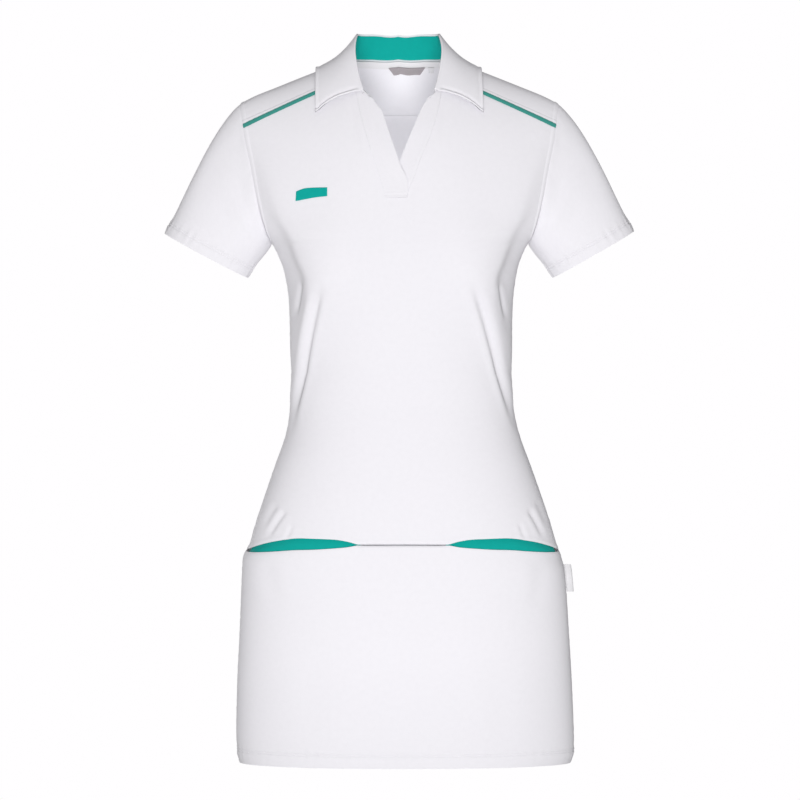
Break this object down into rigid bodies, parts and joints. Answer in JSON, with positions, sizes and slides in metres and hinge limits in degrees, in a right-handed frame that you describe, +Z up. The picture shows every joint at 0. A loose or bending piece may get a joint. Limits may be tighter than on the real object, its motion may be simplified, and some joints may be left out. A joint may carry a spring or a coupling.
{
  "type": "women's short-sleeved polo tunic",
  "caption": "Long fitted women's polo shirt in knit cloth, filled out as worn: folded collar, open placket, short sleeves, curved hip pockets, contrast piping and inner stand.",
  "frame": {"origin": "midway between the two points where the shoulder line meets the neck seam, which is where the wearer's shoulders hold the garment up", "axes": "+Z up, +Y towards the back of the garment, so the front faces -Y; +X towards the wearer's left"},
  "size_m": [0.5614, 0.2541, 0.8761],
  "materials": {
    "white_knit": "matt pique knit",
    "turquoise_knit": "matt knit",
    "white_tape": "herringbone tape",
    "label_grey": "woven satin label",
    "label_white": "woven satin label"
  },
  "bodies": {
    "root": {"front_upper": "white_knit", "front_lower": "white_knit", "back": "white_knit", "yoke": "white_knit", "sleeve_left": "white_knit", "sleeve_right": "white_knit", "placket_top": "white_knit", "placket_under": "white_knit", "collar": "white_knit", "collar_stand": "turquoise_knit", "neck_tape": "white_tape", "neck_label": "label_grey", "size_label": "label_white", "piping_left": "turquoise_knit", "piping_right": "turquoise_knit", "chest_tab": "turquoise_knit", "pocket_lining_left": "turquoise_knit", "pocket_lining_right": "turquoise_knit", "side_label": "label_white"}
  },
  "joints": []
}
